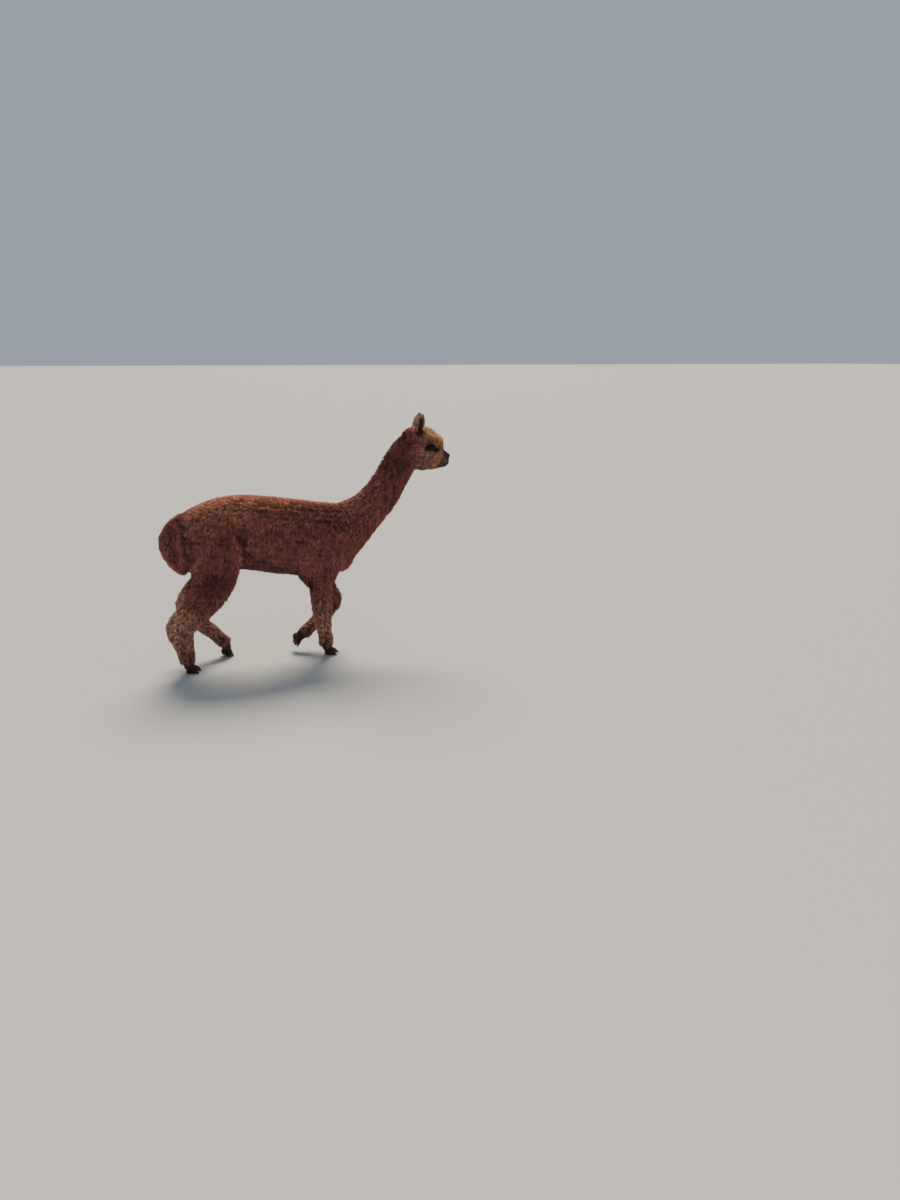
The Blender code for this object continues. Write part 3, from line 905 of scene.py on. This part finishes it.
def coatLie(places, normals, numbers, edges):
    # direction in which the coat lies, along the skin
    lie = np.tile((-0.55, 0.0, -0.83), (len(places), 1))
    lie[onNodes(numbers, "neck")] = (-0.62, 0.0, -0.78)
    lie[onNodes(numbers, "tail")] = (0.05, 0.0, -1.0)
    for leg in legs:
        nodes = [f"leg_{leg}_upper", f"leg_{leg}_lower", f"foot_{leg}", f"nail_{leg}_left"]
        thigh, down, ahead = np.diff([middle(node) for node in nodes], axis=0)
        forward = down / np.linalg.norm(down) + ahead / np.linalg.norm(ahead)
        for node, way in zip(nodes, (thigh, down, forward)):
            lie[onNodes(numbers, node)] = way
    head = headPlaces(places)
    turn = np.array(headTurn)[:3, :3]
    crown = ramp(head[:, 2] - 0.25 * head[:, 0], 0.0, 0.04)[:, None]
    onFace = np.array((-0.75, 0.0, -0.55)) * (1 - crown) + np.array((0.75, 0.0, 0.25)) * crown
    onFace = onFace @ turn
    isHead = onNodes(numbers, "head")
    lie[isHead] = onFace[isHead]
    lie[onNodes(numbers, "ear_")] = (0.15, 0.0, 1.0)
    lie = averaged(unit(lie), edges, 25)
    return unit(lie - normals * (lie * normals).sum(1)[:, None])


def scattered(corners, area, spacing, random):
    # seeded places on triangles, thinned to one in each cell of that size
    count = int(area.sum() / spacing ** 2 * 3)
    chosen = random.choice(len(area), count, p=area / area.sum())
    a, b = random.random((2, count))
    flip = a + b > 1
    a, b = np.where(flip, 1 - a, a), np.where(flip, 1 - b, b)
    weights = np.stack([1 - a - b, a, b], 1)
    spots = (corners[chosen] * weights[:, :, None]).sum(1)
    grid = 8000  # more cells than fit along the animal
    cells = np.floor(spots / spacing).astype(np.int64) + grid // 2
    key = (cells[:, 0] * grid + cells[:, 1]) * grid + cells[:, 2]
    kept = np.unique(key, return_index=True)[1]
    return chosen[kept], weights[kept], spots[kept]


def unwrapped(places, triangles):
    # an unwrap of those triangles of the skin, as three corners each
    mesh = bpy.data.meshes.new("unwrap")
    used, local = np.unique(triangles, return_inverse=True)
    mesh.from_pydata(places[used].tolist(), [], local.reshape(-1, 3).tolist())
    thing = link(bpy.data.objects.new("unwrap", mesh))
    bpy.ops.object.select_all(action="DESELECT")
    bpy.context.view_layer.objects.active = thing
    thing.select_set(True)
    mesh.uv_layers.new(name="flat")
    bpy.ops.object.mode_set(mode="EDIT")
    bpy.ops.mesh.select_all(action="SELECT")
    bpy.ops.uv.smart_project(angle_limit=math.radians(66), island_margin=0.004)
    bpy.ops.object.mode_set(mode="OBJECT")
    flat = column(mesh.uv_layers["flat"].data, "uv", 2).reshape(-1, 3, 2)
    bpy.data.objects.remove(thing)
    bpy.data.meshes.remove(mesh)
    return flat


def clawDistance(places):
    # distance from the nearest claw's middle
    claws = [np.array(middle(node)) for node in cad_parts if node.startswith("nail_")]
    return np.min([np.linalg.norm(places - claw, axis=1) for claw in claws], axis=0)


def earHair(places):
    # extra length of the hair along the ears' rims, at their tips and round their roots
    extra = np.zeros(len(places))
    for word in eyes:
        t, aside, height, facing = earPlaces(places, word)
        rim = ramp(aside, 0.55, 1.0) * ramp(t, 0.05, 0.3) * (1 - ramp(np.abs(height), 0.008, 0.02))
        near = (aside < 3) & (t > -0.3) & (t < 1.2) & (np.abs(height) < 0.03)
        whole = 0.0045 * rim * (1 - ramp(t, 0.7, 0.95)) + 0.0075 * (1 - ramp(t, 0.08, 0.42))
        extra = np.where(near, np.maximum(extra, whole), extra)
    return extra


def lockMesh(name, finish, roots, waists, tips, size, axes, spin, flat, colours):
    # each lock is a thin spindle: a root, a waist ring of three and a tip
    count = len(tips)
    places = np.empty((count, 5, 3))
    places[:, 0] = roots
    places[:, 4] = tips
    for i in range(3):
        angle = (spin + 2 * math.pi * i / 3)[:, None]
        spoke = axes[0] * np.cos(angle) + axes[1] * np.sin(angle)
        places[:, 1 + i] = waists + spoke * size[:, None]
    places[:, :, 2] = np.maximum(places[:, :, 2], cadLow[2] + coat["aboveFloor"])
    faces = []
    for i, j in ((1, 2), (2, 3), (3, 1)):
        faces += [(i, j, 4), (j, i, 0)]
    corners = (np.arange(count)[:, None, None] * 5 + np.array(faces)).reshape(-1)
    mesh = bpy.data.meshes.new(name)
    mesh.vertices.add(count * 5)
    mesh.vertices.foreach_set("co", places.astype(np.float32).ravel())
    mesh.loops.add(len(corners))
    mesh.loops.foreach_set("vertex_index", corners.astype(np.int32))
    mesh.polygons.add(len(corners) // 3)
    mesh.polygons.foreach_set("loop_start", np.arange(0, len(corners), 3, dtype=np.int32))
    shadeSmooth(mesh)
    mesh.update(calc_edges=True)
    layer = mesh.uv_layers.new(name="OFBake")
    layer.data.foreach_set("uv", flat.reshape(-1, 2)[corners].astype(np.float32).ravel())
    paint(mesh, colours.reshape(-1, 3))
    mesh.materials.append(finish)
    thing = link(bpy.data.objects.new(name, mesh))
    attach(thing, "root")
    return thing


def fleeceFinish():
    # dense crimped wool: no gloss, a soft bright edge where light comes from behind
    finish, tree, shader = newMaterial("crimped_huacaya_wool")
    spread = addNode(tree, "ShaderNodeMapRange", {"From Min": 0.30, "From Max": 0.70,
                     "To Min": 0.70, "To Max": 1.28}, {"Value": noise(tree, 2.4, 3.0)})
    shade = addNode(tree, "ShaderNodeVectorMath", {"operation": "SCALE"},
                    {"Vector": coatTone(tree), "Scale": spread.outputs["Result"]})
    tree.links.new(shade.outputs["Vector"], shader.inputs["Base Color"])
    shader.inputs["Roughness"].default_value = 0.95
    shader.inputs["Specular IOR Level"].default_value = 0.25
    shader.inputs["Sheen Weight"].default_value = 0.22
    shader.inputs["Sheen Roughness"].default_value = 0.45
    shader.inputs["Sheen Tint"].default_value = (*hexColour("#cbaa98"), 1)
    return finish


def pieceOwns(name, numbers, centres, depth):
    word, half, (start, end), spacing = coatPieces[name]
    own = onNodes(numbers, word) & (centres[:, 0] >= start) & (centres[:, 0] < end)
    if half:
        own &= centres[:, 1] * half > 0
    if word == "head":
        own &= (depth > coat["faceDepth"]) == (name == "crownFleece")
    return own


def buildCoat(name, base, triangles, flat, finish, random):
    spacing = coatPieces[name][3]
    corners = base["places"][triangles]
    first, second = corners[:, 1] - corners[:, 0], corners[:, 2] - corners[:, 0]
    area = np.linalg.norm(np.cross(first, second), axis=1)
    chosen, weights, roots = scattered(corners, area / 2, spacing, random)

    def blend(values):
        picked = values[triangles[chosen]]
        shares = weights if values.ndim == 1 else weights[:, :, None]
        return (picked * shares).sum(1)

    up, lie = unit(blend(base["normals"])), unit(blend(base["lie"]))
    depth, outer = blend(base["depth"]), blend(base["outer"])
    keep = ~bareSkin(roots)
    chosen, weights, roots, up, lie, depth, outer = (
        values[keep] for values in (chosen, weights, roots, up, lie, depth, outer)
    )
    count = len(roots)
    turn = np.radians(coat["turn"]) * (random.uniform(-1, 1, count) + 1.2 * waves(roots, 0.035, 31))
    side = np.cross(up, lie)
    way = lie * np.cos(turn)[:, None] + side * np.sin(turn)[:, None]
    own = base["numbers"][triangles[chosen][:, 0]]
    height = woolHeight(outer, own)
    least = coat["least"]
    if name == "earHair":
        least = least + (coat["earExtra"] + earHair(roots))
    length = np.maximum(depth, least) * height * random.uniform(0.93, 1.05, count)
    foot = footDistance(outer, own)
    fetlock = ramp(foot, 0.020, 0.045) * (1 - ramp(foot, 0.06, 0.10))
    length = length * (1 + coat["fetlock"] * fetlock)
    length = length + coat["overClaws"] * (1 - ramp(clawDistance(roots), 0.014, 0.032))
    steps = coat["depths"]
    lean = length * np.interp(depth, steps, coat["leans"]) * random.uniform(0.7, 1.3, count)
    tall = length * np.interp(depth, steps, coat["rise"])
    sunk = np.minimum(coat["sunk"], length * 0.2)
    tips = roots + up * tall[:, None] + way * lean[:, None]
    at, rise, reach = coat["waist"]
    waists = roots + up * (tall * at * rise)[:, None] + way * (lean * at * reach)[:, None]
    size = np.interp(depth, steps, coat["waists"]) * spacing * random.uniform(0.8, 1.2, count)
    flat = (flat[chosen] * weights[:, :, None]).sum(1)
    flat = np.clip(flat[:, None] + lockPatch * coat["patch"] / 2, 0.0, 1.0)
    # painted light and shade from the relief of the wool, times a random tone for each lock
    shade = np.clip(1 + coat["relief"] * (height - 1), 0.45, 1.5) * random.uniform(0.80, 1.20, count)
    tint = coatColours(outer, own) * shade[:, None] * coat["bleachAndLight"] ** (shade - 1)[:, None]
    flatHair = (1 - ramp(depth, 0.002, 0.008))[:, None]
    shades = coat["shades"][0] * (1 - flatHair) + coat["shades"][1] * flatHair
    thing = lockMesh(
        name, finish, roots - up * sunk[:, None], waists, tips, size,
        (side, np.cross(up, side)), random.uniform(0, 2 * math.pi, count), flat,
        tint[:, None] * shades[:, :, None] * coat["bleachAndLight"] ** ((shades - 0.95) * 3)[:, :, None],
    )
    print(name, "locks:", count)


def bareSkin(places):
    # nose, lips, eyes and soles carry no hair
    head = headPlaces(places)
    bare = ball(head, (0.106, 0, -0.054), (0.017, 0.024, 0.020)) > 0.05
    bare |= (head[:, 0] > 0.045) & (np.abs(head[:, 2] - mouthHeight(head[:, 0])) < 0.0035)
    for word in eyes:
        bare |= lidGap(places, word)[0] < 0.0016
    return bare | (places[:, 2] < 0.004)


def dressSkin(base, mesh):
    places, numbers = base["places"], base["numbers"]
    triangles = column(mesh.loops, "vertex_index", 1, np.int32).reshape(-1, 3)
    base["lie"] = coatLie(places, base["normals"], numbers, base["edges"])
    first, centres = triangles[:, 0], places[triangles].mean(1)
    finish = fleeceFinish()
    random = np.random.default_rng(coat["seed"])
    for name in coatPieces:
        owned = triangles[pieceOwns(name, numbers[first], centres, base["depth"][first])]
        buildCoat(name, base, owned, unwrapped(places, owned), finish, random)


dressSkin(coatBase, skinPiece.data)
report("coat")

eyeLook = {
    "segments": 48,
    "rings": 32,
    "pupil": (0.52, 0.24),  # half length and half height, in eye radii
    "iris": 0.74,
    "colours": {"pupil": "#050404", "iris": "#120b08", "edge": "#0a0706"},
    "lashes": 46,
    "lashLength": 0.0115,
    "lashThickness": 0.00035,
}


def buildEyes():
    # wet dark eyeball: mirror-smooth, so that it catches the sky
    finish, tree, shader = newMaterial("wet_dark_eyeball")
    tree.links.new(coatTone(tree), shader.inputs["Base Color"])
    shader.inputs["Roughness"].default_value = 0.07
    shader.inputs["Specular IOR Level"].default_value = 0.22
    tints = {name: hexColour(text) for name, text in eyeLook["colours"].items()}
    for word in eyes:
        outward, forward, upward, centre = eyeAxes(word)
        axes = Matrix([[*row] for row in np.stack([forward, upward, outward], 1)]).to_4x4()
        bm = bmesh.new()
        bmesh.ops.create_uvsphere(
            bm, u_segments=eyeLook["segments"], v_segments=eyeLook["rings"], radius=eyeRadius,
            matrix=Matrix.Translation(Vector(centre)) @ axes,
        )
        bmesh.ops.recalc_face_normals(bm, faces=bm.faces)
        thing = placeObject(f"eyeball{word.capitalize()}", bm, finish)
        mesh = thing.data
        shadeSmooth(mesh)
        offset = (vertexPlaces(mesh) - centre) / eyeRadius
        ahead, up, out = offset @ forward, offset @ upward, offset @ outward
        away = np.hypot(ahead, up)
        pupil = np.hypot(ahead / eyeLook["pupil"][0], up / eyeLook["pupil"][1])
        colours = np.tile(tints["iris"], (len(offset), 1))
        colours = mixed(colours, tints["pupil"], 1 - ramp(pupil, 0.85, 1.15))
        colours = mixed(colours, tints["edge"], np.maximum(ramp(away, 0.62, eyeLook["iris"]), out < 0))
        paint(mesh, colours)
        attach(thing, "root")
        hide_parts(f"eye_{word}")


def buildLashes(finish):
    random = np.random.default_rng(9)
    count = eyeLook["lashes"]
    for word in eyes:
        outward, forward, upward, centre = eyeAxes(word)
        ahead = np.linspace(-0.74, 0.78, count) + random.uniform(-0.01, 0.01, count)
        up = lidLine(ahead) + 0.04
        out = np.sqrt(np.maximum(1 - ahead ** 2 - up ** 2, 0.02))
        direction = unit(ahead[:, None] * forward + up[:, None] * upward + out[:, None] * outward)
        roots = centre + direction * (eyeRadius + skin["lid"] * 0.6)
        sweep = unit(
            outward + (ahead * 0.55 + random.uniform(-0.1, 0.1, count))[:, None] * forward
            - upward * 0.10
        )
        length = eyeLook["lashLength"] * random.uniform(0.75, 1.1, count)[:, None]
        waists = roots + sweep * length * 0.5 + upward * length * 0.02
        tips = roots + sweep * length * 0.95 + upward * length * 0.22
        side = unit(np.cross(sweep, np.tile(upward, (count, 1))))
        middleOf = np.stack([(ahead + 1) / 2, np.full(count, 0.5)], 1)
        flat = middleOf[:, None] + lockPatch * coat["patch"] / 2
        thing = lockMesh(
            f"lashes{word.capitalize()}", finish, roots, waists, tips,
            np.full(count, eyeLook["lashThickness"]),
            (side, np.cross(sweep, side)), np.zeros(count), flat,
            np.tile(tones["lid"], (count, 5, 1)),
        )


def buildClaws():
    # dull dark horn, worn a little lighter along its streaks
    finish, tree, shader = newMaterial("dull_black_horn")
    colour = addNode(tree, "ShaderNodeMix", {"data_type": "RGBA"},
                     {"Factor": noise(tree, 3.8, 3.0)})
    colour.inputs[6].default_value = (*hexColour("#0d0b0a"), 1)
    colour.inputs[7].default_value = (*hexColour("#2e2621"), 1)
    tree.links.new(colour.outputs[2], shader.inputs["Base Color"])
    shader.inputs["Roughness"].default_value = 0.60
    nails = [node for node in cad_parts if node.startswith("nail_")]
    bm = bmesh.new()
    for node in nails:
        bm.from_mesh(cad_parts[node].data)
    bmesh.ops.remove_doubles(bm, verts=bm.verts, dist=0.00002)
    bmesh.ops.recalc_face_normals(bm, faces=bm.faces)
    thing = placeObject("claws", bm, finish)
    rounder = thing.modifiers.new("rounder", "SUBSURF")
    rounder.levels = rounder.render_levels = 2
    applyModifiers(thing)
    shadeSmooth(thing.data)
    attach(thing, "root")
    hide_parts(*nails)


buildEyes()
buildLashes(bpy.data.materials["crimped_huacaya_wool"])
buildClaws()
report("eyes, lashes and claws")
